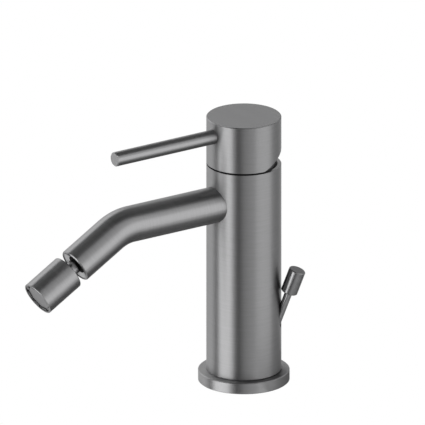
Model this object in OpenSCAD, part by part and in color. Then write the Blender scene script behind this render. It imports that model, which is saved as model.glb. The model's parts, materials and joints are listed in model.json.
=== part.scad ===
// Single lever bidet mixer with a jet on a ball joint and a lift rod for a pop-up waste.
// Millimetres. The origin is on the deck, under the body's axis. +Z is up and the spout runs along -Y.

/* [Body] */
// Diameter of the body, and of the cap above it
body_d = 41; // [40:0.5:46]
// Height of the spout's axis above the deck
spout_z = 105; // [95:1:150]
// Width of the rim round the recess in the body's top
rim_w = 2; // [1.2:0.1:2.4]
// Depth of the recess in the body's top
recess_depth = 4.2; // [3.9:0.1:5.5]
// Bevel on the outer edges of turned parts
edge_break = 0.4; // [0.2:0.05:0.6]
// Bevel on the crisper edges, at the gap under the cap and at the outlet
fine_break = 0.15; // [0.1:0.05:0.3]

/* [Base flange] */
// Diameter of the flange on the deck
flange_d = 50; // [49:0.5:60]
// Height of the flange
flange_h = 6.3; // [5.5:0.1:9]
// Step from the body in to its spigot in the flange
spigot_step = 2; // [1.4:0.1:2.4]
// Width of the deck seal, which lies midway between the spigot and the flange's edge
deck_seal_w = 3; // [2:0.1:3.6]
// Height of the deck seal
deck_seal_h = 2.2; // [1.5:0.1:3]
// Section diameter of the ring that holds the flange on the spigot
flange_ring_d = 1.6; // [1.2:0.1:2]

/* [Inlets] */
// Bore of a threaded hose inlet
inlet_d = 9; // [8:0.1:10]
// Depth of a hose inlet
inlet_depth = 12; // [10:0.5:18]
// Distance of the hose inlets from the middle plane
inlet_x = 7.5; // [7:0.1:8]
// Distance of the hose inlets in front of the axis
inlet_front = 3.2; // [2.8:0.1:3.6]
// Step from an inlet's thread in to the pocket above it
thread_step = 0.9; // [0.5:0.1:1]
// Height of the pocket above an inlet's thread
pocket_h = 6; // [5:0.5:8]
// Diameter of the water channels up to the cartridge
channel_d = 4.8; // [4:0.1:5]
// Bore of the threaded hole for the clamping stud
stud_d = 6.8; // [5:0.1:7.2]
// Depth of the stud's hole
stud_depth = 15; // [10:0.5:20]
// Distance of the stud's hole in front of the axis
stud_front = 12; // [11.5:0.1:13]

/* [Cartridge] */
// Diameter of the cartridge
cart_d = 25; // [24.4:0.1:25.6]
// Wall of the cartridge housing round the discs
cart_wall = 1.1; // [0.9:0.05:1.3]
// Height of the cartridge base
cart_base_h = 3.5; // [3:0.1:4.5]
// Depth of the cartridge seat below the spout's axis
seat_drop = 9; // [8.6:0.1:10]
// Thickness of a ceramic disc
disc_h = 3.5; // [3:0.1:4]
// Width of the base's collar between the fixed disc and the housing
collar_w = 0.9; // [0.7:0.05:1.1]
// Distance of a water port from the middle plane
port_x = 4.2; // [4.15:0.05:4.5]
// Distance of a water port behind the axis
port_back = 3; // [2.5:0.1:3.4]
// Diameter of a water port
port_d = 4.6; // [4:0.1:4.8]
// Depth of a port seal's pocket in the cartridge base
seal_pocket = 1.2; // [0.8:0.1:1.6]
// Diameter of the cartridge base's locating pegs
key_d = 3; // [2.4:0.1:3.2]
// Depth of the locating pegs in the body
key_h = 2.4; // [1.8:0.1:3]
// Distance of a locating peg from the middle plane
key_x = 7; // [6.8:0.1:7.4]
// Distance of a locating peg in front of the axis
key_front = 6; // [5.6:0.1:6.4]
// Width of a window in the cartridge housing
window_w = 7; // [5:0.1:8]
// Number of windows in the cartridge housing
window_count = 4; // [3:1:5]
// Diameter of the pegs that join the moving disc to its carrier
peg_d = 2.4; // [2:0.1:2.6]
// Length of those pegs
peg_h = 1.2; // [0.8:0.1:1.6]
// Distance of those pegs from the disc's middle
peg_back = 4.6; // [4.4:0.1:4.8]
// Height of the disc carrier's plate
carrier_h = 3.15; // [2.8:0.05:3.6]
// Height of the tongue on the carrier
tongue_h = 2; // [1.6:0.1:2.4]
// Width of the tongue on the carrier
tongue_w = 8; // [7.4:0.1:9]
// Wall of the tongue in front of and behind the stem's ball
tongue_wall = 2.4; // [2:0.1:2.8]
// Height of the rotor's flange
rotor_flange_h = 3.2; // [3:0.1:4]
// Diameter of the rotor's neck
rotor_neck_d = 17.2; // [16.4:0.1:17.6]
// Height of the rotor's neck above the pin
rotor_head_h = 3.5; // [3:0.1:4.5]
// Thickness of the housing's top plate
plate_h = 3; // [2.5:0.1:4]
// Thread diameter of the ring nut
nut_d = 30; // [29:0.1:30.8]
// Length of the ring nut's thread
nut_thread_h = 4.2; // [3.8:0.1:5]
// Gap between the corners of the ring nut's hexagon and the dome over it
nut_corner_gap = 1.1; // [0.6:0.1:1.6]
// Height of the ring nut's hexagon
nut_head_h = 3; // [2.4:0.1:3.4]
// Gap between the domed cover and the rim round it
dome_rim_gap = 1.3; // [1:0.1:1.6]
// Wall of the domed cover
dome_wall = 1.4; // [1:0.1:1.5]
// Width of the stem across flats
stem_w = 6; // [5.4:0.1:6.4]
// Diameter of the stem's eye
stem_eye_d = 7; // [6.8:0.1:7.4]
// Diameter of the stem's lower arm
stem_arm_d = 3.2; // [2.8:0.1:3.4]
// Diameter of the stem's pin
stem_pin_d = 3; // [2.6:0.1:3.2]
// Diameter of the ball on the stem's lower end
stem_ball_d = 4.4; // [4:0.1:4.8]
// Depth of the water chamber round the cartridge
chamber_depth = 1.7; // [1.2:0.1:2]
// Section diameter of the cartridge's ring seal
cart_ring_d = 1.3; // [1.1:0.05:1.4]

/* [Handle] */
// Height of the cap
cap_h = 26.4; // [25:0.2:34]
// Gap between the cap and the body's rim
cap_gap = 1; // [0.7:0.05:1.2]
// Slope under the cap's rear half, which is the lift of the lever
lift = 25; // [18:1:26]
// Diameter of the lever
lever_d = 8; // [7.4:0.1:8.6]
// Distance from the body's axis to the lever's tip
lever_reach = 85.3; // [60:0.5:110]
// Depth of the lever's axis below the cap's top
lever_drop = 8.1; // [8:0.1:9]
// Depth of the lever's seat in the cap
lever_seat = 3.5; // [2.5:0.1:5]
// Thread diameter of the lever's stud and of the screw behind it
lever_thread_d = 6; // [5:0.1:6.4]
// Depth of the stud's thread in the cap
lever_thread_l = 6; // [4:0.1:7]
// Cover of the stem under the cap's top
cap_roof = 4.4; // [4:0.1:4.6]

/* [Spout] */
// Outer diameter of the spout
spout_d = 20; // [19:0.1:21]
// Bore of the spout
spout_bore_d = 15; // [14.4:0.1:16]
// Distance from the body's axis to the spout's bend
spout_run = 81.8; // [70:0.5:120]
// Angle of the bend
bend_angle = 30; // [15:1:45]
// Centreline radius of the bend
bend_r = 26; // [20:1:40]
// Length from the bend's corner to the tube's end
spout_drop_l = 34.3; // [32:0.1:50]
// Depth of the spout's socket in the body
socket_depth = 4; // [3.5:0.1:4.4]
// Bore of the nipple that holds the spout
nipple_bore_d = 11; // [10:0.1:11.4]
// Wall of the nipple's thread
nipple_wall = 1.2; // [1:0.1:1.5]
// Section diameter of the nipple's ring seal
nipple_ring_d = 1; // [0.8:0.05:1.1]
// Length of the nipple in the spout
nipple_l = 17.5; // [16:0.5:22]
// Diameter of the spout's grub screw
spout_screw_d = 4; // [3:0.1:4.4]
// Distance of the grub screw from the socket's floor
screw_in = 9; // [8:0.1:10]

/* [Jet] */
// Rounding of the spout's end and of the jet's upper edge
end_round = 0.9; // [0.5:0.1:1.2]
// Bore at the spout's end for the ball's seat
end_bore_d = 17.4; // [17:0.1:17.8]
// Diameter of the hole in the retainer
retainer_hole_d = 11.4; // [10.8:0.1:11.6]
// Slope of the retainer's dished face
dish_angle = 20; // [17:1:22]
// Diameter of the ball
ball_d = 13; // [12.6:0.1:13.4]
// Depth of the ball's centre in the spout
ball_inset = 5.5; // [5:0.1:6]
// Diameter of the ball's neck
neck_d = 8; // [7:0.1:8.2]
// Length of the ball's seat
seat_l = 6.5; // [6:0.1:7]
// Bore through the ball
ball_bore_d = 4.5; // [3.5:0.1:5]
// Gap between the spout and the jet
jet_gap = 4.6; // [4.2:0.1:6]
// Diameter of the jet
jet_d = 20; // [19.6:0.1:21]
// Length of the jet
jet_l = 23.5; // [21:0.1:30]
// Wall of the jet
jet_wall = 1; // [0.8:0.05:1.2]
// Thickness of the jet's upper wall
jet_roof = 5; // [4:0.1:6]
// Thickness of the gasket above the insert
gasket_h = 1.6; // [1.2:0.1:2]
// Width of the notched ring
notch_ring_w = 1.5; // [1.2:0.1:1.8]
// Width of a notch
notch_w = 2.7; // [2:0.1:3.4]
// Number of notches
notch_count = 8; // [6:1:10]
// Depth of a notch
notch_depth = 2.4; // [1.6:0.1:3]
// Depth of the outlet disc below the jet's rim
outlet_inset = 0.8; // [0.6:0.1:1.4]
// Thickness of the outlet disc
outlet_disc_h = 1.4; // [1:0.1:2]

/* [Lift rod] */
// Diameter of the rod
rod_d = 4.2; // [3.8:0.1:4.4]
// Turn of the rod's place round the body, from straight behind to the right
rod_turn = 45; // [40:1:50]
// Lean of the rod from upright
rod_lean = 20; // [18:1:24]
// Height at which the rod's axis leaves the body
rod_exit_z = 39.7; // [37:0.1:46]
// Gap between the lowered knob and the body
knob_gap = 0.35; // [0.3:0.05:2]
// Diameter of the knob
knob_d = 9.3; // [8.5:0.1:12]
// Length of the knob
knob_l = 13.9; // [10:0.1:18]
// Depth of the rod in the knob
knob_hole_l = 8; // [5:0.1:9]
// Section diameter of the rod's ring seal, and wall of the bush above it
rod_ring_d = 0.65; // [0.55:0.05:0.8]
// Length of the bush in the body
bush_l = 13; // [11:0.1:15]
// Depth of the bush's mouth under the body's surface
bush_sink = 0.15; // [0.1:0.05:0.4]

/* [Fits] */
// Radial clearance of close fits
close_gap = 0.05; // [0.02:0.01:0.08]
// Radial clearance of running fits
run_gap = 0.08; // [0.05:0.01:0.1]
// Clearance between parts that pass each other
free_gap = 0.3; // [0.2:0.05:0.4]
// Width of a ring seal's groove beyond its section
groove_play = 0.4; // [0.2:0.05:0.5]
// Slack of a ring seal's section in its groove
ring_slack = 0.02; // [0.01:0.01:0.05]

/* [Hidden] */
$fn = 96;

// Colours of the finishes
gunmetal = [0.55, 0.55, 0.56];
dark_metal = [0.36, 0.36, 0.37];
steel = [0.75, 0.75, 0.76];
brass = [0.78, 0.66, 0.36];
rubber = [0.08, 0.08, 0.08];
black_plastic = [0.1, 0.1, 0.1];
white_plastic = [0.88, 0.88, 0.86];
blue_plastic = [0.2, 0.35, 0.6];
ceramic = [0.93, 0.92, 0.9];

// Overshoot of cuts past the face they open
cut = 1;

// Step by which the bend is slimmer than the straights, so that they join cleanly
bend_step = 0.01;
bend_lap = 0.05;

// Radii
body_r = body_d / 2;
spigot_r = body_r - spigot_step;
flange_r = flange_d / 2;
cart_r = cart_d / 2;
bore_r = cart_r + close_gap;
spout_r = spout_d / 2;
lever_r = lever_d / 2;
rod_r = rod_d / 2;
knob_r = knob_d / 2;
bush_r = rod_r + close_gap + rod_ring_d;
nut_r = nut_d / 2;
dome_r = body_r - rim_w - dome_rim_gap;
nut_corner_r = sqrt(pow(dome_r - dome_wall, 2) - pow(nut_head_h, 2)) - nut_corner_gap;
ball_r = ball_d / 2;
jet_r = jet_d / 2;

// Deck seal's groove in the flange
flange_bore_r = spigot_r + close_gap;
deck_seal_r = (flange_bore_r + flange_r) / 2;
deck_seal_in = deck_seal_r - deck_seal_w / 2;
deck_seal_out = deck_seal_r + deck_seal_w / 2;

// Groove for the ring that holds the flange
flange_ring_z = flange_h / 2;
flange_groove_w = flange_ring_d + groove_play;
flange_groove_r = flange_bore_r - flange_ring_d;

// Cartridge stack, from its seat up to the body's rim
seat_z = spout_z - seat_drop;
cart_base_z = seat_z + free_gap;
fixed_z = cart_base_z + cart_base_h;
moving_z = fixed_z + disc_h + close_gap;
carrier_z = moving_z + disc_h;
rotor_z = carrier_z + carrier_h + free_gap;
plate_z = rotor_z + rotor_flange_h + free_gap;
nut_z = plate_z + plate_h;
floor_z = nut_z + nut_thread_h;
body_h = floor_z + recess_depth;

// Drilling from the cartridge seat to the middle of an inlet's pocket
drill_z = inlet_depth + pocket_h / 2;
drill_run = norm([inlet_x - port_x, inlet_front + port_back]);
drill_turn = atan2(-inlet_front - port_back, inlet_x - port_x);
drill_lean = atan2(drill_run, seat_z - drill_z);
drill_l = drill_run / sin(drill_lean);

// Lever pivot and the swing of the stem's ball about it
pivot_z = floor_z;
ball_rest_gap = 0.25;
stem_arm = pivot_z - carrier_z - stem_ball_d / 2 - 2 * ball_rest_gap;
swing = stem_arm * sin(lift / 2);

// Cartridge housing, discs and rotor
inner_r = cart_r - cart_wall;
collar_r = inner_r - close_gap;
fixed_disc_r = collar_r - collar_w - close_gap;
rotor_step = 1;
rotor_r = inner_r - rotor_step;
carrier_gap = 0.5;
carrier_r = inner_r - swing - carrier_gap;
carrier_lap = 0.4;
moving_r = carrier_r - carrier_lap;
peg_gap = 0.2;
pin_inset = 0.8;
nut_bore_gap = 1;
shoulder_step = 1.2;
seal_web = 0.1;
ring_groove_w = cart_ring_d + groove_play;
cart_ring_z = plate_z - free_gap - ring_groove_w;
slot_l = 2 * (stem_w / 2 / cos(lift) + rotor_head_h * tan(lift) + free_gap);

// Water chamber round the cartridge, open to the spout
chamber_r = bore_r + chamber_depth;
chamber_drop = 1.3;
chamber_z = fixed_z - chamber_drop;
ring_land = 0.4;
chamber_top = cart_ring_z - ring_groove_w / 2 - ring_land;

// Handle
cap_z = body_h + cap_gap;
cap_top = cap_z + cap_h;
lever_z = cap_top - lever_drop;
dome_gap = 0.8;
cavity_r = dome_r + dome_gap;
stem_top = cap_top - cap_roof;
screw_gap = 0.4;
stem_head_gap = 0.2;
hex_socket = 0.5 * lever_thread_d;
dome_mouth_r = dome_r * sin(lift) / cos(lift / 2) + stem_w / 2 / cos(lift) + free_gap;

// Spout socket and nipple
socket_y = body_r - socket_depth;
nipple_thread_r = nipple_bore_d / 2 + nipple_wall;
nipple_r = spout_bore_d / 2 - close_gap;
screw_y = socket_y + screw_in;
screw_sink = 0.3;
screw_dimple = 0.9;
ring_from_screw = 4.5;
nipple_ring_y = screw_y + ring_from_screw;
bend_tangent = bend_r * tan(bend_angle / 2);

// Ball joint and jet, measured along the spout's end from the bend's corner
ball_at = spout_drop_l - ball_inset;
seat_r = ball_r + run_gap;
seat_front = 1;
seat_lip = 2;
retainer_back = 0.7;
face_sink = 0.4;
jet_at = spout_drop_l + jet_gap;
jet_end = jet_at + jet_l;
jet_bore_r = jet_r - jet_wall;
neck_step = 0.8;
ball_thread_r = neck_d / 2 + neck_step;
gasket_step = 0.6;
insert_at = jet_at + jet_roof + gasket_h;
insert_r = jet_bore_r - close_gap;
outlet_r = insert_r - notch_ring_w;
disc_ledge = 1;
insert_sink = 0.3;
insert_end = jet_end - insert_sink;
outlet_at = jet_end - outlet_inset - outlet_disc_h;

// Lift rod, measured along its axis from where it leaves the body
rod_foot = free_gap - rod_exit_z / cos(rod_lean) + rod_r * tan(rod_lean);
rod_show = (knob_gap + knob_r * cos(rod_lean)) / sin(rod_lean) - edge_break;
bush_mouth = bush_r / tan(rod_lean);
ring_seat = -bush_l - rod_ring_d - groove_play;
rod_play = 0.4;
rod_channel_r = rod_r + rod_play;
channel_foot = rod_foot - 2 * rod_channel_r;

// Cylinder with bevels at its lower and upper edge
module bevelled(r, h, low, high) {
    rotate_extrude()
        polygon([[0, 0], [r - low, 0], [r, low], [r, h - high], [r - high, h], [0, h]]);
}

// Cylinder with a bevel at its upper edge only
module topped(r, h, high) {
    rotate_extrude()
        polygon([[0, 0], [r, 0], [r, h - high], [r - high, h], [0, h]]);
}

module ring(outer, inner, h) {
    difference() {
        cylinder(r = outer, h = h);
        translate([0, 0, -cut])
            cylinder(r = inner, h = h + 2 * cut);
    }
}

// Round seal, lying flat round the axis
module o_ring(middle, section_d) {
    rotate_extrude()
        translate([middle, 0])
            circle(d = section_d);
}

// Places children with their Z along -Y, at height z
module to_front(z) {
    translate([0, 0, z])
        rotate([90, 0, 0])
            children();
}

// Places children with their Z along the spout's end, at distance l from the bend's corner
module along_end(l) {
    translate([0, -spout_run, spout_z])
        rotate([90 + bend_angle, 0, 0])
            translate([0, 0, l])
                children();
}

// Places children with their Z along the lift rod, at distance l from the body's surface
module along_rod(l) {
    rotate([0, 0, -rod_turn])
        translate([0, body_r, rod_exit_z])
            rotate([-rod_lean, 0, 0])
                translate([0, 0, l])
                    children();
}

// Repeats children on both sides of the middle plane
module both_sides() {
    children();
    mirror([1, 0, 0])
        children();
}

// Round bar along the spout's centreline, from distance y of the axis to length l past the bend
module bent_bar(r, y, l) {
    to_front(spout_z)
        translate([0, 0, y])
            cylinder(r = r, h = spout_run - bend_tangent + bend_lap - y);
    translate([0, bend_tangent - spout_run, spout_z - bend_r])
        rotate([180, -90, 0])
            rotate_extrude(angle = bend_angle)
                translate([bend_r, 0])
                    circle(r = r - bend_step);
    along_end(bend_tangent - bend_lap)
        cylinder(r = r, h = l - bend_tangent + bend_lap);
}

// Hose inlet, the pocket above its thread, and the sloping drilling from the cartridge seat down into it
module water_way() {
    translate([inlet_x, -inlet_front, -cut])
        cylinder(d = inlet_d, h = inlet_depth + cut);
    translate([inlet_x, -inlet_front, inlet_depth - cut])
        cylinder(d = inlet_d - 2 * thread_step, h = pocket_h + cut);
    translate([port_x, port_back, seat_z])
        rotate([0, 180 - drill_lean, drill_turn])
            translate([0, 0, -cut])
                cylinder(d = channel_d, h = drill_l + cut);
}

// Six sided socket for a key
module hex_key(flats, depth) {
    cylinder(d = flats / cos(30), h = depth, $fn = 6);
}

module body() {
    color(gunmetal)
        difference() {
            rotate_extrude()
                polygon(concat(body_outline(), body_bore()));
            spout_socket();
            both_sides() {
                water_way();
                translate([key_x, -key_front, seat_z - key_h])
                    cylinder(d = key_d + 2 * close_gap, h = key_h + cut);
            }
            translate([0, -stud_front, -cut])
                cylinder(d = stud_d, h = stud_depth + cut);
            along_rod(channel_foot)
                cylinder(r = rod_channel_r, h = ring_seat - channel_foot + cut);
            along_rod(ring_seat)
                cylinder(r = bush_r, h = bush_mouth - ring_seat + cut);
        }
}

// Outside of the body's section, from the middle of its underside to its rim
function body_outline() = [
    [0, 0], [spigot_r, 0],
    [spigot_r, flange_ring_z - flange_groove_w / 2], [flange_groove_r, flange_ring_z - flange_groove_w / 2],
    [flange_groove_r, flange_ring_z + flange_groove_w / 2], [spigot_r, flange_ring_z + flange_groove_w / 2],
    [spigot_r, flange_h], [body_r - edge_break, flange_h], [body_r, flange_h + edge_break],
    [body_r, body_h - fine_break], [body_r - fine_break, body_h]
];

// Recess, nut thread, cartridge bore and water chamber of the body's section, from the rim down
function body_bore() = [
    [body_r - rim_w, body_h], [body_r - rim_w, floor_z], [nut_r, floor_z], [nut_r, plate_z],
    [bore_r, plate_z], [bore_r, chamber_top], [chamber_r, chamber_top], [chamber_r, chamber_z],
    [bore_r, chamber_z], [bore_r, seat_z], [0, seat_z]
];

module spout_socket() {
    to_front(spout_z) {
        translate([0, 0, socket_y])
            cylinder(r = spout_r + close_gap, h = socket_depth + cut);
        translate([0, 0, chamber_r - cut])
            cylinder(r = nipple_thread_r + close_gap, h = socket_y - chamber_r + 2 * cut);
    }
}

module base_flange() {
    color(gunmetal)
        rotate_extrude()
            polygon([
                [flange_bore_r, 0], [deck_seal_in, 0], [deck_seal_in, deck_seal_h],
                [deck_seal_out, deck_seal_h], [deck_seal_out, 0], [flange_r - edge_break, 0],
                [flange_r, edge_break], [flange_r, flange_h - edge_break],
                [flange_r - edge_break, flange_h], [flange_bore_r, flange_h]
            ]);
}

module base_seal() {
    color(rubber)
        translate([0, 0, close_gap])
            ring(deck_seal_out - close_gap, deck_seal_in + close_gap, deck_seal_h - close_gap);
}

module flange_o_ring() {
    color(rubber)
        translate([0, 0, flange_ring_z])
            o_ring(flange_bore_r - flange_ring_d / 2, flange_ring_d - ring_slack);
}

module cartridge_base() {
    color(white_plastic)
        difference() {
            union() {
                translate([0, 0, cart_base_z])
                    cylinder(r = cart_r, h = cart_base_h);
                translate([0, 0, fixed_z])
                    ring(collar_r, collar_r - collar_w, disc_h / 2);
                both_sides()
                    translate([key_x, -key_front, seat_z - key_h + close_gap])
                        cylinder(d = key_d, h = key_h + free_gap);
            }
            both_sides()
                translate([port_x, port_back, cart_base_z - cut]) {
                    cylinder(d = port_d, h = cart_base_h + 2 * cut);
                    cylinder(r = port_x - seal_web, h = cut + seal_pocket);
                }
        }
}

module port_seals() {
    color(rubber)
        both_sides()
            translate([port_x, port_back, seat_z])
                ring(port_x - seal_web - close_gap, port_d / 2 + free_gap, free_gap + seal_pocket);
}

module cartridge_housing() {
    shoulder_r = nut_r - shoulder_step;
    groove_r = cart_r + close_gap - cart_ring_d;
    neck_r = rotor_neck_d / 2 + run_gap;
    color(white_plastic)
        difference() {
            rotate_extrude()
                polygon([
                    [inner_r, fixed_z], [cart_r, fixed_z],
                    [cart_r, cart_ring_z - ring_groove_w / 2], [groove_r, cart_ring_z - ring_groove_w / 2],
                    [groove_r, cart_ring_z + ring_groove_w / 2], [cart_r, cart_ring_z + ring_groove_w / 2],
                    [cart_r, plate_z], [shoulder_r, plate_z], [shoulder_r, nut_z], [neck_r, nut_z],
                    [neck_r, plate_z], [rotor_r + run_gap, plate_z],
                    [rotor_r + run_gap, rotor_z - free_gap / 2], [inner_r, rotor_z - free_gap / 2]
                ]);
            for (i = [0 : window_count - 1])
                rotate([0, 0, (i + 0.5) * 360 / window_count])
                    translate([0, -window_w / 2, moving_z])
                        cube([cart_r + cut, window_w, disc_h + carrier_h / 2]);
        }
}

module cartridge_o_ring() {
    color(rubber)
        translate([0, 0, cart_ring_z])
            o_ring(cart_r + close_gap - cart_ring_d / 2, cart_ring_d - ring_slack);
}

module fixed_disc() {
    color(ceramic)
        difference() {
            translate([0, 0, fixed_z])
                cylinder(r = fixed_disc_r, h = disc_h);
            both_sides()
                translate([port_x, port_back, fixed_z - cut])
                    cylinder(d = port_d, h = disc_h + 2 * cut);
        }
}

// Holes or pegs that join the moving disc to its carrier
module carrier_pegs(d, h) {
    for (side = [-1, 1])
        translate([0, swing + side * peg_back, carrier_z - h])
            cylinder(d = d, h = h + cut);
}

module moving_disc() {
    color(ceramic)
        difference() {
            translate([0, swing, moving_z])
                cylinder(r = moving_r, h = disc_h);
            carrier_pegs(peg_d + 2 * close_gap, peg_h + peg_gap);
        }
}

module disc_carrier() {
    tongue_l = stem_ball_d + 2 * tongue_wall;
    color(blue_plastic)
        difference() {
            union() {
                translate([0, swing, carrier_z])
                    cylinder(r = carrier_r, h = carrier_h);
                translate([-tongue_w / 2, swing - tongue_l / 2, carrier_z + carrier_h / 2])
                    cube([tongue_w, tongue_l, carrier_h / 2 + tongue_h]);
                carrier_pegs(peg_d, peg_h);
            }
            translate([0, swing, carrier_z + ball_rest_gap / 2])
                cylinder(d = stem_ball_d + 3 * run_gap, h = carrier_h + tongue_h + cut);
        }
}

module stem_rotor() {
    neck_top = pivot_z + rotor_head_h;
    groove_h = tongue_h + free_gap;
    color(blue_plastic)
        difference() {
            union() {
                translate([0, 0, rotor_z])
                    cylinder(r = rotor_r, h = rotor_flange_h);
                translate([0, 0, rotor_z])
                    cylinder(d = rotor_neck_d, h = neck_top - rotor_z);
            }
            translate([-stem_w / 2 - run_gap, -slot_l / 2, rotor_z - cut])
                cube([stem_w + 2 * run_gap, slot_l, neck_top - rotor_z + 2 * cut]);
            translate([-tongue_w / 2 - run_gap, -rotor_r - cut, rotor_z - cut])
                cube([tongue_w + 2 * run_gap, 2 * (rotor_r + cut), groove_h - free_gap + cut]);
            translate([0, 0, pivot_z])
                rotate([0, 90, 0])
                    cylinder(d = stem_pin_d, h = rotor_neck_d + 2 * cut, center = true);
        }
}

module stem_pin() {
    color(steel)
        translate([0, 0, pivot_z])
            rotate([0, 90, 0])
                cylinder(d = stem_pin_d, h = rotor_neck_d - 2 * pin_inset, center = true);
}

// Upper square, eye and lower arm with its ball. The arm hangs back by half the lift
module stem() {
    color(steel)
        difference() {
            union() {
                translate([-stem_w / 2, -stem_w / 2, pivot_z])
                    cube([stem_w, stem_w, stem_top - pivot_z]);
                translate([0, 0, pivot_z])
                    rotate([0, 90, 0])
                        cylinder(d = stem_eye_d, h = stem_w, center = true);
                translate([0, 0, pivot_z])
                    rotate([180 + lift / 2, 0, 0]) {
                        cylinder(d = stem_arm_d, h = stem_arm);
                        translate([0, 0, stem_arm])
                            sphere(d = stem_ball_d);
                    }
            }
            translate([0, 0, pivot_z])
                rotate([0, 90, 0])
                    cylinder(d = stem_pin_d + 2 * run_gap, h = stem_w + 2 * cut, center = true);
        }
}

module ring_nut() {
    color(brass)
        difference() {
            union() {
                translate([0, 0, nut_z])
                    cylinder(r = nut_r - close_gap, h = nut_thread_h);
                translate([0, 0, floor_z])
                    cylinder(r = nut_corner_r, h = nut_head_h, $fn = 6);
            }
            translate([0, 0, nut_z - cut])
                cylinder(d = rotor_neck_d + 2 * nut_bore_gap, h = nut_thread_h + nut_head_h + 2 * cut);
        }
}

module cartridge_cover() {
    color(gunmetal)
        translate([0, 0, floor_z])
            difference() {
                sphere(r = dome_r);
                sphere(r = dome_r - dome_wall);
                translate([0, 0, -2 * dome_r])
                    cylinder(r = 2 * dome_r, h = 2 * dome_r);
                cylinder(r = dome_mouth_r, h = 2 * dome_r);
            }
}

module handle_cap() {
    color(gunmetal)
        difference() {
            translate([0, 0, cap_z])
                topped(body_r, cap_h, edge_break);
            translate([0, 0, pivot_z])
                sphere(r = cavity_r);
            translate([-body_d, 0, cap_z])
                rotate([lift, 0, 0])
                    translate([0, 0, -body_d])
                        cube([2 * body_d, 2 * body_d, body_d]);
            translate([-stem_w / 2 - close_gap, -stem_w / 2 - close_gap, pivot_z])
                cube([stem_w + 2 * close_gap, stem_w + 2 * close_gap, stem_top + stem_head_gap - pivot_z]);
            to_front(lever_z) {
                cylinder(d = lever_thread_d, h = body_r);
                translate([0, 0, body_r - lever_seat])
                    cylinder(r = lever_r + close_gap, h = lever_seat + cut);
            }
        }
}

module lever_pin() {
    seat = body_r - lever_seat;
    color(gunmetal)
        to_front(lever_z) {
            translate([0, 0, seat])
                topped(lever_r, lever_reach - seat, edge_break);
            translate([0, 0, seat - lever_thread_l])
                cylinder(d = lever_thread_d - 2 * close_gap, h = lever_thread_l + cut);
        }
}

module handle_screw() {
    screw_end = body_r - lever_seat - lever_thread_l - screw_gap;
    screw_start = stem_w / 2;
    color(steel)
        to_front(lever_z)
            difference() {
                translate([0, 0, screw_start])
                    cylinder(d = lever_thread_d - 2 * close_gap, h = screw_end - screw_start);
                translate([0, 0, (screw_start + screw_end) / 2])
                    hex_key(hex_socket, screw_end);
            }
}

module spout_tube() {
    seat_from = ball_at - seat_front - seat_l;
    color(gunmetal)
        difference() {
            bent_bar(spout_r, socket_y, spout_drop_l);
            bent_bar(spout_bore_d / 2, socket_y - cut, spout_drop_l + cut);
            along_end(seat_from)
                cylinder(d = end_bore_d, h = spout_drop_l - seat_from + cut);
            along_end(spout_drop_l - end_round)
                edge_rounding(spout_r, end_round);
            translate([0, -screw_y, spout_z - spout_r - cut])
                cylinder(d = spout_screw_d, h = spout_r);
        }
}

// Space to cut from a cylinder's upper edge so that it is rounded
module edge_rounding(r, rounding) {
    difference() {
        ring(r + cut, r - rounding, rounding + cut);
        rotate_extrude()
            translate([r - rounding, 0])
                circle(r = rounding);
    }
}

module spout_nipple() {
    back = chamber_r + free_gap;
    groove_r = spout_bore_d / 2 - nipple_ring_d - close_gap;
    groove_w = nipple_ring_d + groove_play;
    front = socket_y + nipple_l;
    bore = nipple_bore_d / 2;
    color(brass)
        difference() {
            to_front(spout_z)
                rotate_extrude()
                    polygon([
                        [bore, back], [nipple_thread_r, back], [nipple_thread_r, socket_y],
                        [nipple_r, socket_y], [nipple_r, nipple_ring_y - groove_w / 2],
                        [groove_r, nipple_ring_y - groove_w / 2], [groove_r, nipple_ring_y + groove_w / 2],
                        [nipple_r, nipple_ring_y + groove_w / 2], [nipple_r, front], [bore, front]
                    ]);
            translate([0, -screw_y, spout_z - nipple_r - cut])
                cylinder(d = spout_screw_d, h = cut + screw_dimple);
        }
}

module spout_seal() {
    color(rubber)
        to_front(spout_z)
            translate([0, 0, nipple_ring_y])
                o_ring(spout_bore_d / 2 - nipple_ring_d / 2 - ring_slack, nipple_ring_d - ring_slack);
}

module spout_grub_screw() {
    screw_low = spout_z - spout_r + screw_sink;
    screw_l = spout_r - screw_sink - nipple_r + screw_dimple - close_gap;
    color(steel)
        difference() {
            translate([0, -screw_y, screw_low])
                cylinder(d = spout_screw_d - 2 * close_gap, h = screw_l);
            translate([0, -screw_y, screw_low - cut])
                hex_key(spout_screw_d / 2, screw_l / 2 + cut);
        }
}

module ball_retainer() {
    face = spout_drop_l - face_sink;
    face_r = end_bore_d / 2 - close_gap;
    hole_r = retainer_hole_d / 2;
    dish_depth = (face_r - hole_r) * tan(dish_angle);
    back = ball_at - retainer_back;
    color(gunmetal)
        difference() {
            along_end(0)
                rotate_extrude()
                    polygon([[hole_r, back], [face_r, back], [face_r, face], [hole_r, face - dish_depth]]);
            along_end(ball_at)
                sphere(r = seat_r);
        }
}

module ball_seat() {
    color(black_plastic)
        difference() {
            along_end(ball_at - seat_front - seat_l + run_gap)
                ring(end_bore_d / 2 - run_gap, ball_r - seat_lip, seat_l - run_gap);
            along_end(ball_at)
                sphere(r = seat_r);
        }
}

module swivel_ball() {
    neck_end = jet_at + jet_roof;
    color(steel)
        difference() {
            union() {
                along_end(ball_at) {
                    sphere(r = ball_r);
                    cylinder(d = neck_d, h = jet_at - ball_at + cut / 2);
                }
                along_end(jet_at)
                    cylinder(r = ball_thread_r, h = neck_end - jet_at);
            }
            along_end(ball_at - ball_d)
                cylinder(d = ball_bore_d, h = neck_end - ball_at + ball_d + cut);
        }
}

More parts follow.
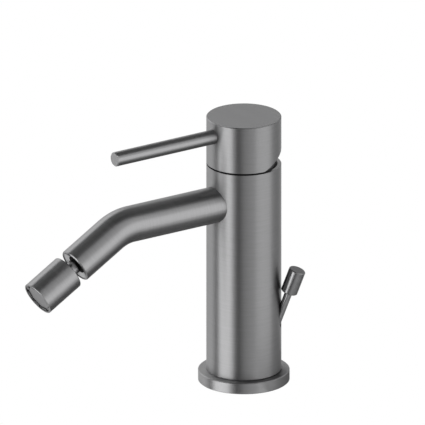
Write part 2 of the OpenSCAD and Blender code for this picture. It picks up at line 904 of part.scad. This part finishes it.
module aerator_housing() {
    color(gunmetal)
        difference() {
            along_end(jet_at)
                rotate_extrude()
                    polygon([
                        [0, 0], [jet_r, 0], [jet_r, jet_l - fine_break],
                        [jet_r - fine_break, jet_l], [0, jet_l]
                    ]);
            along_end(jet_at + end_round)
                mirror([0, 0, 1])
                    edge_rounding(jet_r, end_round);
            along_end(jet_at - cut)
                cylinder(r = ball_thread_r + close_gap, h = jet_roof + 2 * cut);
            along_end(jet_at + jet_roof)
                cylinder(r = jet_bore_r, h = jet_l);
        }
}

module aerator_gasket() {
    color(rubber)
        along_end(jet_at + jet_roof)
            ring(insert_r, ball_thread_r + gasket_step, gasket_h);
}

module aerator_insert() {
    color(dark_metal)
        difference() {
            along_end(insert_at)
                ring(insert_r, outlet_r - disc_ledge, insert_end - insert_at);
            along_end(outlet_at)
                cylinder(r = outlet_r, h = jet_l);
            along_end(insert_end - notch_depth)
                for (i = [0 : notch_count - 1])
                    rotate([0, 0, (i + 0.5) * 360 / notch_count])
                        translate([outlet_r - cut, -notch_w / 2, 0])
                            cube([notch_ring_w + 2 * cut, notch_w, notch_depth + cut]);
        }
}

module aerator_disc() {
    color(gunmetal)
        along_end(outlet_at)
            cylinder(r = outlet_r - close_gap, h = outlet_disc_h);
}

// Tube round the rod, cut off just under the body's surface
module rod_guide_bush() {
    color(black_plastic)
        intersection() {
            cylinder(r = body_r - bush_sink, h = body_h);
            along_rod(-bush_l)
                ring(bush_r, rod_r + close_gap, bush_l + bush_mouth + cut);
        }
}

module rod_o_ring() {
    color(rubber)
        along_rod((ring_seat - bush_l) / 2)
            o_ring(rod_r + close_gap + rod_ring_d / 2, rod_ring_d - 2 * ring_slack);
}

module pop_up_rod() {
    color(gunmetal)
        along_rod(rod_foot)
            cylinder(r = rod_r, h = rod_show + knob_hole_l - rod_foot);
}

module pop_up_knob() {
    color(gunmetal)
        along_rod(rod_show)
            difference() {
                bevelled(knob_r, knob_l, edge_break, edge_break);
                translate([0, 0, -cut])
                    cylinder(r = rod_r + close_gap, h = knob_hole_l + cut);
            }
}

body();
base_flange();
base_seal();
flange_o_ring();
cartridge_base();
port_seals();
cartridge_housing();
cartridge_o_ring();
fixed_disc();
moving_disc();
disc_carrier();
stem_rotor();
stem_pin();
stem();
ring_nut();
cartridge_cover();
handle_cap();
lever_pin();
handle_screw();
spout_tube();
spout_nipple();
spout_seal();
spout_grub_screw();
ball_retainer();
ball_seat();
swivel_ball();
aerator_housing();
aerator_gasket();
aerator_insert();
aerator_disc();
rod_guide_bush();
rod_o_ring();
pop_up_rod();
pop_up_knob();
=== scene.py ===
"""Looks of a single lever bidet mixer: brushed gunmetal on a white floor, under soft studio light."""

import json
import math

import bpy
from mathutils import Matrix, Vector


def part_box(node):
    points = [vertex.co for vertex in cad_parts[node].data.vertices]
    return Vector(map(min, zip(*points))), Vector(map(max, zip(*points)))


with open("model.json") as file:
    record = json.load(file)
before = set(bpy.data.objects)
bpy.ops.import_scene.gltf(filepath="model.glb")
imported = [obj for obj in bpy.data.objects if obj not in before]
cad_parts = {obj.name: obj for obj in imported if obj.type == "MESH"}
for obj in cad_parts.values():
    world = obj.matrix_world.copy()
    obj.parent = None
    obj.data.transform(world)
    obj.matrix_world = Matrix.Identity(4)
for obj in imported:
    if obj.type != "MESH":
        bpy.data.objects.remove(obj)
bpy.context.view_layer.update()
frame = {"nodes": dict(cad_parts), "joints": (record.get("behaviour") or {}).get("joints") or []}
nodes = frame["nodes"]
joints = {joint["name"]: joint for joint in frame["joints"]}

# Axes that the brushed finish runs round, and where and how the spout bends
UP = Vector((0, 0, 1))
ACROSS = Vector((1, 0, 0))
SPOUT_AXIS = Vector((0, -1, 0))
JET_AXIS = Vector(joints["jet_turn"]["axis"]).normalized()
ROD_AXIS = Vector(joints["rod_pull"]["axis"]).normalized()
BALL_CENTRE = Vector(joints["jet_turn"]["pos_m"])
SPOUT_RADIUS = (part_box("spout_tube")[1].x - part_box("spout_tube")[0].x) / 2
SPOUT_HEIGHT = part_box("spout_tube")[1].z - SPOUT_RADIUS
BEND_CORNER = BALL_CENTRE - JET_AXIS * ((BALL_CENTRE.z - SPOUT_HEIGHT) / JET_AXIS.z)
BEND_RADIUS = 0.026

# Distance along the jet from the ball's centre: end of the ball's painted shade, which is black, and start
# of the bright neck
BALL_SHADE_TO = 0.0056
NECK_FROM = 0.0064

# Camera: no perspective, seen from the right of the spout and a little above
VIEW_AZIMUTH = 55.9
VIEW_ELEVATION = 19.8
VIEW_WIDTH = 0.23187
VIEW_DISTANCE = 1.5
ORIGIN_RIGHT_OF_CENTRE = 0.01709
ORIGIN_BELOW_CENTRE = 0.09084

# Colours, as linear values
GUNMETAL = (0.255, 0.255, 0.258)
# Painted light: a paler copy of gunmetal that makes the dished retainer at the swivel look more brightly lit
LIT_GUNMETAL = (0.34, 0.34, 0.344)
# Painted shade: a darker copy of gunmetal that makes the knob look less brightly lit than the rod
SHADED_GUNMETAL = (0.205, 0.205, 0.208)
POLISHED_STEEL = (0.3, 0.3, 0.305)
# Satin steel, darkened past its own colour as painted shade on the cartridge's dome in the recess under the
# cap
SATIN_STEEL_IN_SHADE = (0.15, 0.15, 0.152)
# Painted shade: black for the part of the swivel ball that lies in the shadowed recess
PAINTED_RECESS_SHADE = (0.012, 0.012, 0.012)
PLAIN_STEEL = (0.45, 0.45, 0.46)
BRASS = (0.62, 0.47, 0.2)
RUBBER = (0.022, 0.022, 0.022)
BLACK_PLASTIC = (0.018, 0.018, 0.019)
# Grey plastic, darkened past its own grey as painted shade in the notches of the outlet
GREY_PLASTIC_IN_SHADE = (0.08, 0.08, 0.082)
WHITE_PLASTIC = (0.78, 0.78, 0.75)
BLUE_PLASTIC = (0.05, 0.13, 0.42)
CERAMIC = (0.86, 0.84, 0.8)
FLOOR_WHITE = (0.92, 0.92, 0.92)
BLACK = (0, 0, 0)


# Shader nodes

def add(tree, kind, inputs=None, **settings):
    """A new node, with its settings, and its inputs set to values or linked to sockets."""
    made = tree.nodes.new(kind)
    for name, value in settings.items():
        setattr(made, name, value)
    for key, value in (inputs or {}).items():
        if isinstance(value, bpy.types.NodeSocket):
            tree.links.new(value, made.inputs[key])
        else:
            made.inputs[key].default_value = value
    return made


def maths(tree, operation, *values):
    return add(tree, "ShaderNodeMath", dict(enumerate(values)), operation=operation).outputs[0]


def vector_maths(tree, operation, *values):
    made = add(tree, "ShaderNodeVectorMath", dict(enumerate(values)), operation=operation)
    return made.outputs["Value" if operation == "DOT_PRODUCT" else "Vector"]


def scaled(tree, vector, factor):
    made = add(tree, "ShaderNodeVectorMath", {0: vector, "Scale": factor}, operation="SCALE")
    return made.outputs["Vector"]


def ranged(tree, value, low, high, to_low=0.0, to_high=1.0):
    limits = {"Value": value, "From Min": low, "From Max": high, "To Min": to_low, "To Max": to_high}
    return add(tree, "ShaderNodeMapRange", limits).outputs["Result"]


def mixed_vector(tree, factor, first, second):
    made = add(tree, "ShaderNodeMix", {0: factor, 4: first, 5: second}, data_type="VECTOR")
    return made.outputs[1]


def mixed_number(tree, factor, first, second):
    return add(tree, "ShaderNodeMix", {0: factor, 2: first, 3: second}, data_type="FLOAT").outputs[0]


def mixed_colour(tree, factor, first, second):
    inputs = {0: factor, 6: (*first, 1), 7: (*second, 1)}
    return add(tree, "ShaderNodeMix", inputs, data_type="RGBA").outputs[2]


def noise(tree, vector, scale, detail, roughness=0.55):
    inputs = {"Vector": vector, "Scale": scale, "Detail": detail, "Roughness": roughness}
    return add(tree, "ShaderNodeTexNoise", inputs).outputs[0]


def new_material(name):
    """A material with only a Principled shader, and its node tree and shader."""
    made = bpy.data.materials.new(name)
    made.use_nodes = True
    tree = made.node_tree
    tree.nodes.clear()
    shader = add(tree, "ShaderNodeBsdfPrincipled")
    add(tree, "ShaderNodeOutputMaterial", {"Surface": shader.outputs[0]})
    return made, tree, shader


def link(tree, socket, shader, name):
    tree.links.new(socket, shader.inputs[name])


def bump(tree, height, strength, distance):
    inputs = {"Height": height, "Strength": strength, "Distance": distance}
    return add(tree, "ShaderNodeBump", inputs).outputs["Normal"]


def shade_of(colour, factor):
    return tuple(min(1.0, part * factor) for part in colour)


def shaded(tree, factor, colour, limits):
    """A colour that goes from a darker to a lighter shade of itself."""
    dark, light = limits
    return mixed_colour(tree, factor, shade_of(colour, dark), shade_of(colour, light))


# Brushed metals

# Lines: spacing and length in metres, and the detail, roughness and used range of the noise that draws them
BRUSH_SPACING = 0.0011
BRUSH_LENGTH = 0.014
BRUSH_DETAIL = 5
BRUSH_NOISE_ROUGHNESS = 0.7
BRUSH_LOW = 0.2
BRUSH_HIGH = 0.8

# What the lines change: shades of the colour, spread of the roughness on sides and end faces, and bump
BRUSH_SHADES = (0.84, 1.16)
SIDE_SPREAD = 0.035
FACE_SPREAD = 0.02
BRUSH_STRENGTH = 0.6
BRUSH_DEPTH = 0.000012

# Tint that keeps metal from turning bright where it is seen at a slant
EDGE_TINT = 0.5

# Roughness of smooth end faces, and the cosines to the axis between which a face turns into one
FACE_ROUGHNESS = 0.2
END_FACE_FROM = 0.85
END_FACE_TO = 0.97


def straight_axis(axis):
    """Gives the axis of a straight turned piece, the same all over it."""
    return lambda tree, place: tuple(axis)


def spout_axis(tree, place):
    """The spout's axis, which turns from level to sloping through the bend."""
    depth = vector_maths(tree, "DOT_PRODUCT", place, tuple(SPOUT_AXIS))
    bend = JET_AXIS.angle(SPOUT_AXIS)
    tangent = BEND_RADIUS * math.tan(bend / 2)
    corner = -BEND_CORNER.y
    turned = ranged(tree, depth, corner - tangent, corner + tangent * math.cos(bend))
    return vector_maths(tree, "NORMALIZE", mixed_vector(tree, turned, tuple(SPOUT_AXIS), tuple(JET_AXIS)))


def spread(tree, brush, middle, width):
    """Roughness that varies with the lines, round a middle value."""
    return ranged(tree, brush, BRUSH_LOW, BRUSH_HIGH, middle - width, middle + width)


def brushed_metal(name, colour, axis_of, side, roughness, anisotropy, face_roughness):
    """Metal with fine lines round an axis. On faces square to it the lines run straight, across side."""
    made, tree, shader = new_material(name)
    coordinates = add(tree, "ShaderNodeTexCoord").outputs
    place = coordinates["Object"]
    axis = axis_of(tree, place)
    facing = maths(tree, "ABSOLUTE", vector_maths(tree, "DOT_PRODUCT", coordinates["Normal"], axis))
    on_end = ranged(tree, facing, END_FACE_FROM, END_FACE_TO)
    across_lines = mixed_vector(tree, on_end, axis, tuple(side))

    line = maths(tree, "DIVIDE", vector_maths(tree, "DOT_PRODUCT", place, across_lines), BRUSH_SPACING)
    drift = scaled(tree, place, 1 / BRUSH_LENGTH)
    offset = add(tree, "ShaderNodeCombineXYZ", {0: line}).outputs[0]
    on_lines = vector_maths(tree, "ADD", drift, offset)
    brush = noise(tree, on_lines, 1.0, BRUSH_DETAIL, BRUSH_NOISE_ROUGHNESS)

    link(tree, shaded(tree, brush, colour, BRUSH_SHADES), shader, "Base Color")
    turned = spread(tree, brush, roughness, SIDE_SPREAD)
    faced = spread(tree, brush, face_roughness, FACE_SPREAD)
    link(tree, mixed_number(tree, on_end, turned, faced), shader, "Roughness")
    link(tree, bump(tree, brush, BRUSH_STRENGTH, BRUSH_DEPTH), shader, "Normal")
    tangent = add(
        tree, "ShaderNodeVectorTransform", {0: across_lines},
        vector_type="VECTOR", convert_from="OBJECT", convert_to="WORLD",
    )
    link(tree, tangent.outputs[0], shader, "Tangent")
    shader.inputs["Metallic"].default_value = 1.0
    shader.inputs["Specular Tint"].default_value = (EDGE_TINT, EDGE_TINT, EDGE_TINT, 1)
    shader.inputs["Anisotropic"].default_value = anisotropy
    return made


def paint_ball_shade(material):
    """Paints shade on the ball: black as far as its neck, which stays bright. The black stands for the shade
    in the recess round the ball.
    """
    tree = material.node_tree
    shader = next(node for node in tree.nodes if node.type == "BSDF_PRINCIPLED")
    bright = shader.inputs["Base Color"].links[0].from_socket
    place = add(tree, "ShaderNodeTexCoord").outputs["Object"]
    from_centre = vector_maths(tree, "SUBTRACT", place, tuple(BALL_CENTRE))
    reach = vector_maths(tree, "DOT_PRODUCT", from_centre, tuple(JET_AXIS))
    on_neck = ranged(tree, reach, BALL_SHADE_TO, NECK_FROM)
    inputs = {0: on_neck, 6: (*PAINTED_RECESS_SHADE, 1), 7: bright}
    colour = add(tree, "ShaderNodeMix", inputs, data_type="RGBA").outputs[2]
    link(tree, colour, shader, "Base Color")
    return material


# Metals, rubber, plastics and ceramic with a grain

# Used range of the grain's noise
GRAIN_LOW = 0.25
GRAIN_HIGH = 0.75

# Stains and scratches of metal. Scratches are counted along one grain, and their depth is a share of it
STAIN_DETAIL = 4
STAIN_SHADES = (0.88, 1.08)
SCRATCHES_PER_GRAIN = 12
SCRATCH_DETAIL = 3
SCRATCH_ROUGHNESS = (0.8, 1.25)
SCRATCH_STRENGTH = 0.15
SCRATCH_DEPTH = 0.01

# Grain of moulded pieces, and the broad clouds of colour in them, counted along one grain
MOULDED_DETAIL = 5
MOULDED_ROUGHNESS = (0.88, 1.1)
MOULDED_STRENGTH = 0.4
CLOUDS_PER_GRAIN = 0.06
CLOUD_DETAIL = 3
CLOUD_SHADES = (0.9, 1.08)


def grained(tree, grain, roughness, limits):
    """Roughness that varies with a grain, between two shares of a value."""
    smooth, rough = limits
    return ranged(tree, grain, GRAIN_LOW, GRAIN_HIGH, roughness * smooth, roughness * rough)


def worked_metal(name, colour, roughness, grain):
    """Metal with no direction in its finish, and faint stains and scratches."""
    made, tree, shader = new_material(name)
    place = add(tree, "ShaderNodeTexCoord").outputs["Object"]
    stain = noise(tree, place, 1 / grain, STAIN_DETAIL)
    scratch = noise(tree, place, SCRATCHES_PER_GRAIN / grain, SCRATCH_DETAIL)
    link(tree, shaded(tree, stain, colour, STAIN_SHADES), shader, "Base Color")
    link(tree, grained(tree, scratch, roughness, SCRATCH_ROUGHNESS), shader, "Roughness")
    link(tree, bump(tree, scratch, SCRATCH_STRENGTH, grain * SCRATCH_DEPTH), shader, "Normal")
    shader.inputs["Metallic"].default_value = 1.0
    return made


def moulded(name, colour, roughness, grain, depth, gloss=0.5, coat=0.0):
    """Moulded or fired material with a fine grain and a slight unevenness of colour."""
    made, tree, shader = new_material(name)
    place = add(tree, "ShaderNodeTexCoord").outputs["Object"]
    fine = noise(tree, place, 1 / grain, MOULDED_DETAIL)
    clouds = noise(tree, place, CLOUDS_PER_GRAIN / grain, CLOUD_DETAIL)
    link(tree, shaded(tree, clouds, colour, CLOUD_SHADES), shader, "Base Color")
    link(tree, grained(tree, fine, roughness, MOULDED_ROUGHNESS), shader, "Roughness")
    link(tree, bump(tree, fine, MOULDED_STRENGTH, depth), shader, "Normal")
    shader.inputs["Specular IOR Level"].default_value = gloss
    shader.inputs["Coat Weight"].default_value = coat
    return made


# Finish of each piece

# Brushed finishes: roughness, share of it that runs one way, and roughness of the end faces
COARSE_BRUSHING = (0.46, 0.86, FACE_ROUGHNESS)
FLANGE_BRUSHING = (0.43, 0.8, 0.45)
FINE_BRUSHING = (0.38, 0.7, 0.38)
ROD_BRUSHING = (0.31, 0.75, 0.38)
DISH_BRUSHING = (0.45, 0.2, FACE_ROUGHNESS)
BALL_BRUSHING = (0.36, 0.5, FACE_ROUGHNESS)
BRASS_BRUSHING = (0.3, 0.5, FACE_ROUGHNESS)


def gunmetal(name, axis_of, side, brushing=FINE_BRUSHING, colour=GUNMETAL):
    return brushed_metal(name, colour, axis_of, side, *brushing)


finishes = {
    gunmetal("gunmetal_upright", straight_axis(UP), SPOUT_AXIS, COARSE_BRUSHING): ["body", "handle_cap"],
    gunmetal("gunmetal_flange", straight_axis(UP), SPOUT_AXIS, FLANGE_BRUSHING): ["base_flange"],
    gunmetal("gunmetal_lever", straight_axis(SPOUT_AXIS), ACROSS): ["lever_pin"],
    gunmetal("gunmetal_spout", spout_axis, ACROSS): ["spout_tube"],
    gunmetal("gunmetal_jet", straight_axis(JET_AXIS), ACROSS): ["aerator_housing", "aerator_disc"],
    # The dish's paler gunmetal is painted light
    gunmetal("gunmetal_dish", straight_axis(JET_AXIS), ACROSS, DISH_BRUSHING, LIT_GUNMETAL): [
        "ball_retainer",
    ],
    gunmetal("gunmetal_rod", straight_axis(ROD_AXIS), ACROSS, ROD_BRUSHING): ["pop_up_rod"],
    # The knob's darker gunmetal is painted shade
    gunmetal("gunmetal_knob", straight_axis(ROD_AXIS), ACROSS, ROD_BRUSHING, SHADED_GUNMETAL): [
        "pop_up_knob",
    ],
    # The swivel ball is painted black as shade where it sits in the recess
    paint_ball_shade(
        brushed_metal("polished_steel", POLISHED_STEEL, straight_axis(JET_AXIS), ACROSS, *BALL_BRUSHING)
    ): ["swivel_ball"],
    # The cartridge cover's dark colour is partly its steel and partly painted shade of the recess
    worked_metal("satin_steel_shaded", SATIN_STEEL_IN_SHADE, roughness=0.45, grain=0.002): ["cartridge_cover"],
    worked_metal("plain_steel", PLAIN_STEEL, roughness=0.32, grain=0.002): [
        "stem", "stem_pin", "handle_screw", "spout_grub_screw",
    ],
    brushed_metal("turned_brass", BRASS, straight_axis(UP), ACROSS, *BRASS_BRUSHING): ["ring_nut"],
    brushed_metal("turned_brass_level", BRASS, straight_axis(SPOUT_AXIS), ACROSS, *BRASS_BRUSHING): [
        "spout_nipple",
    ],
    moulded("rubber", RUBBER, roughness=0.7, grain=0.0002, depth=0.00001, gloss=0.3): [
        "base_seal", "flange_o_ring", "port_seals", "cartridge_o_ring", "spout_seal", "aerator_gasket",
        "rod_o_ring",
    ],
    moulded("black_plastic", BLACK_PLASTIC, roughness=0.6, grain=0.0003, depth=0.000008, gloss=0.1): [
        "ball_seat", "rod_guide_bush",
    ],
    # The aerator insert's dark grey is partly its plastic and partly painted shade in the outlet
    moulded("grey_plastic", GREY_PLASTIC_IN_SHADE, roughness=0.5, grain=0.0003, depth=0.000006, gloss=0.25): [
        "aerator_insert",
    ],
    moulded("white_plastic", WHITE_PLASTIC, roughness=0.45, grain=0.0003, depth=0.000006): [
        "cartridge_base", "cartridge_housing",
    ],
    moulded("blue_plastic", BLUE_PLASTIC, roughness=0.42, grain=0.0003, depth=0.000006): [
        "disc_carrier", "stem_rotor",
    ],
    moulded("ceramic", CERAMIC, roughness=0.22, grain=0.0002, depth=0.000002, coat=0.4): [
        "fixed_disc", "moving_disc",
    ],
}
for finish, names in finishes.items():
    for name in names:
        mesh = nodes[name].data
        mesh.materials.clear()
        mesh.materials.append(finish)


# Camera

def direction(azimuth, elevation):
    """Unit vector from the object towards a place, with azimuth 0 in front and 90 on the right."""
    turn = math.radians(azimuth)
    rise = math.radians(elevation)
    return Vector((math.sin(turn) * math.cos(rise), -math.cos(turn) * math.cos(rise), math.sin(rise)))


def make_camera():
    back = direction(VIEW_AZIMUTH, VIEW_ELEVATION)
    turn = (-back).to_track_quat("-Z", "Y")
    right = turn @ Vector((1, 0, 0))
    up = turn @ Vector((0, 1, 0))
    lens = bpy.data.cameras.new("camera")
    lens.type = "ORTHO"
    lens.ortho_scale = VIEW_WIDTH
    camera = bpy.data.objects.new("camera", lens)
    camera.rotation_mode = "QUATERNION"
    camera.rotation_quaternion = turn
    camera.location = back * VIEW_DISTANCE - right * ORIGIN_RIGHT_OF_CENTRE + up * ORIGIN_BELOW_CENTRE
    bpy.context.scene.collection.objects.link(camera)
    bpy.context.scene.camera = camera


# Studio: cards far round the object, which show only in reflections, and softboxes, which never show.
# Azimuths are counted from the camera, to the right

# Middle of the studio, half the floor's width, and strength of the even light from all round
STUDIO_CENTRE = Vector((0, -0.02, 0.08))
FLOOR_HALF = 3.0
WORLD_STRENGTH = 0.9

# Cards: azimuth of the two sides, elevation of the lower and upper edge, brightness at the two sides. Each
# is cut into faces of about CARD_STEP degrees
CARDS = {
    "left_card": (-81, -35, -25, 28, 3.9, 3.9),
    "left_low": (-81, -35, -60, -25, 1.2, 1.2),
    "front_flag": (-27, -8, -70, 50, 0.15, 0.15),
    "front_fade": (-8, 35, -70, 50, 0.55, 1.15),
    "right_high": (45, 100, 24, 38, 1.25, 1.25),
    "right_card": (38, 88, -12, 24, 2.35, 2.0),
    "right_low": (35, 92, -24, -12, 1.9, 1.7),
    "right_lower": (35, 98, -36, -24, 1.05, 1.05),
    "right_lowest": (35, 100, -48, -36, 0.35, 0.35),
    "bottom_flag": (35, 100, -80, -48, 0.2, 0.2),
    "right_flag": (100, 140, -35, 5, 0.65, 0.65),
    "low_flag": (100, 185, -80, -35, 0.25, 0.25),
    "edge_card": (140, 188, -35, 0, 1.7, 1.7),
    "back_card": (140, 170, 0, 40, 0.75, 0.75),
    "back_end": (170, 190, 0, 40, 1.06, 1.06),
    "rim_card": (-170, -106, -60, 12, 1.8, 1.5),
    "high_card": (-168, -120, 12, 50, 2.0, 2.0),
    "left_flag": (-98, -85, -60, 40, 0.1, 0.1),
}
CARD_DISTANCE = 1.2
CARD_STEP = 8

# Dark cards overhead: height above the object, brightness, and corners for a height of 1
TOP_FLAGS = {
    "top_flag": (0.9, 0.2, ((-0.7, -3.0), (0.6, -3.0), (0.6, 1.3), (-1.5, 1.3))),
    "top_dark": (0.8, 0.02, ((-0.2, -3.0), (0.5, -3.0), (0.5, 0.25), (-0.2, 0.25))),
}

# Painted shadow: a dark patch on the floor, behind the base on the right, which shows only in reflections
# and stands for the object's shadow on the floor there
SHADOW_PATCH_CORNERS = ((0, 0), (0.09, 0), (0.085, 0.04), (0.035, 0.085), (-0.05, 0.05))
SHADOW_PATCH_BRIGHTNESS = 0.35

# Softboxes: azimuth, elevation, distance, size, brightness
SOFTBOXES = {
    "left_softbox": (-58, 40, 0.8, 0.5, 1.0),
    "right_softbox": (60, 45, 0.8, 0.5, 0.8),
}


def new_mesh(name, points, faces, material):
    mesh = bpy.data.meshes.new(name)
    mesh.from_pydata(points, [], faces)
    mesh.materials.append(material)
    made = bpy.data.objects.new(name, mesh)
    bpy.context.scene.collection.objects.link(made)
    return made


def background_rays(tree):
    """1 for rays that show the background: those from the camera, and those that metal and glass send on."""
    path = add(tree, "ShaderNodeLightPath").outputs
    seen = maths(tree, "MAXIMUM", path["Is Camera Ray"], path["Is Glossy Ray"])
    return maths(tree, "MAXIMUM", seen, path["Is Transmission Ray"])


def glowing(name, brightness):
    made = bpy.data.materials.new(name)
    made.use_nodes = True
    tree = made.node_tree
    tree.nodes.clear()
    glow = add(tree, "ShaderNodeEmission", {"Color": (1, 1, 1, 1), "Strength": brightness})
    add(tree, "ShaderNodeOutputMaterial", {"Surface": glow.outputs[0]})
    return made


def only_in_reflections(made):
    made.visible_camera = False
    made.visible_diffuse = False
    made.visible_shadow = False
    made.visible_transmission = False


def make_floor():
    """A floor that lights the object as white paper does, and only glows, plain white, to the camera."""
    white, tree, shader = new_material("floor_white")
    seen = background_rays(tree)
    link(tree, mixed_colour(tree, seen, FLOOR_WHITE, BLACK), shader, "Base Color")
    link(tree, seen, shader, "Emission Strength")
    shader.inputs["Roughness"].default_value = 1.0
    shader.inputs["Specular IOR Level"].default_value = 0.0
    shader.inputs["Emission Color"].default_value = (1, 1, 1, 1)
    corners = [(x * FLOOR_HALF, y * FLOOR_HALF, 0) for x, y in ((-1, -1), (1, -1), (1, 1), (-1, 1))]
    floor = new_mesh("floor", corners, [(0, 1, 2, 3)], white)
    floor.visible_glossy = False


def make_world():
    world = bpy.data.worlds.new("studio")
    world.use_nodes = True
    bpy.context.scene.world = world
    tree = world.node_tree
    tree.nodes.clear()
    strength = mixed_number(tree, background_rays(tree), WORLD_STRENGTH, 1.0)
    sky = add(tree, "ShaderNodeBackground", {"Color": (1, 1, 1, 1), "Strength": strength})
    add(tree, "ShaderNodeOutputWorld", {"Surface": sky.outputs[0]})


def make_softbox(name, azimuth, elevation, distance, size, brightness):
    lamp = bpy.data.lights.new(name, "AREA")
    lamp.size = size
    lamp.energy = brightness * math.pi * size * size
    made = bpy.data.objects.new(name, lamp)
    towards = direction(VIEW_AZIMUTH + azimuth, elevation)
    made.location = STUDIO_CENTRE + towards * distance
    made.rotation_mode = "QUATERNION"
    made.rotation_quaternion = (-towards).to_track_quat("-Z", "Y")
    made.visible_camera = False
    made.visible_glossy = False
    bpy.context.scene.collection.objects.link(made)


def fade_across(material, start, end, first, last):
    """Makes a card's brightness go from first to last between two azimuths."""
    tree = material.node_tree
    place = add(tree, "ShaderNodeTexCoord").outputs["Object"]
    middle = direction(VIEW_AZIMUTH + (start + end) / 2, 0)
    aside = middle.cross(UP)
    depth = vector_maths(tree, "DOT_PRODUCT", place, tuple(middle))
    width = vector_maths(tree, "DOT_PRODUCT", place, tuple(-aside))
    half = math.radians(end - start) / 2
    strength = ranged(tree, maths(tree, "ARCTAN2", width, depth), -half, half, first, last)
    glow = next(node for node in tree.nodes if node.type == "EMISSION")
    tree.links.new(strength, glow.inputs["Strength"])


def make_card(name, start, end, low, high, first, last):
    """A card on a sphere round the object, between two azimuths and two elevations."""
    columns = max(1, round((end - start) / CARD_STEP))
    rows = max(1, round((high - low) / CARD_STEP))
    points = []
    for column in range(columns + 1):
        azimuth = VIEW_AZIMUTH + start + (end - start) * column / columns
        for row in range(rows + 1):
            elevation = low + (high - low) * row / rows
            points.append(direction(azimuth, elevation) * CARD_DISTANCE)
    faces = []
    for column in range(columns):
        for row in range(rows):
            corner = column * (rows + 1) + row
            faces.append((corner, corner + 1, corner + rows + 2, corner + rows + 1))
    material = glowing(name, first)
    if first != last:
        fade_across(material, start, end, first, last)
    made = new_mesh(name, points, faces, material)
    made.location = STUDIO_CENTRE
    only_in_reflections(made)


def make_top_flag(name, height, brightness, corners):
    points = [STUDIO_CENTRE + Vector((x, y, 1)) * height for x, y in corners]
    only_in_reflections(new_mesh(name, points, [(0, 1, 2, 3)], glowing(name, brightness)))


# Lays the painted floor shadow, which only reflections see
def make_shadow_patch():
    points = [(x, y, 0) for x, y in SHADOW_PATCH_CORNERS]
    faces = [tuple(range(len(points)))]
    only_in_reflections(new_mesh("patch", points, faces, glowing("patch", SHADOW_PATCH_BRIGHTNESS)))


make_camera()
make_floor()
make_world()
for name, values in SOFTBOXES.items():
    make_softbox(name, *values)
for name, values in CARDS.items():
    make_card(name, *values)
for name, values in TOP_FLAGS.items():
    make_top_flag(name, *values)
make_shadow_patch()

bpy.context.scene.view_settings.view_transform = "Standard"
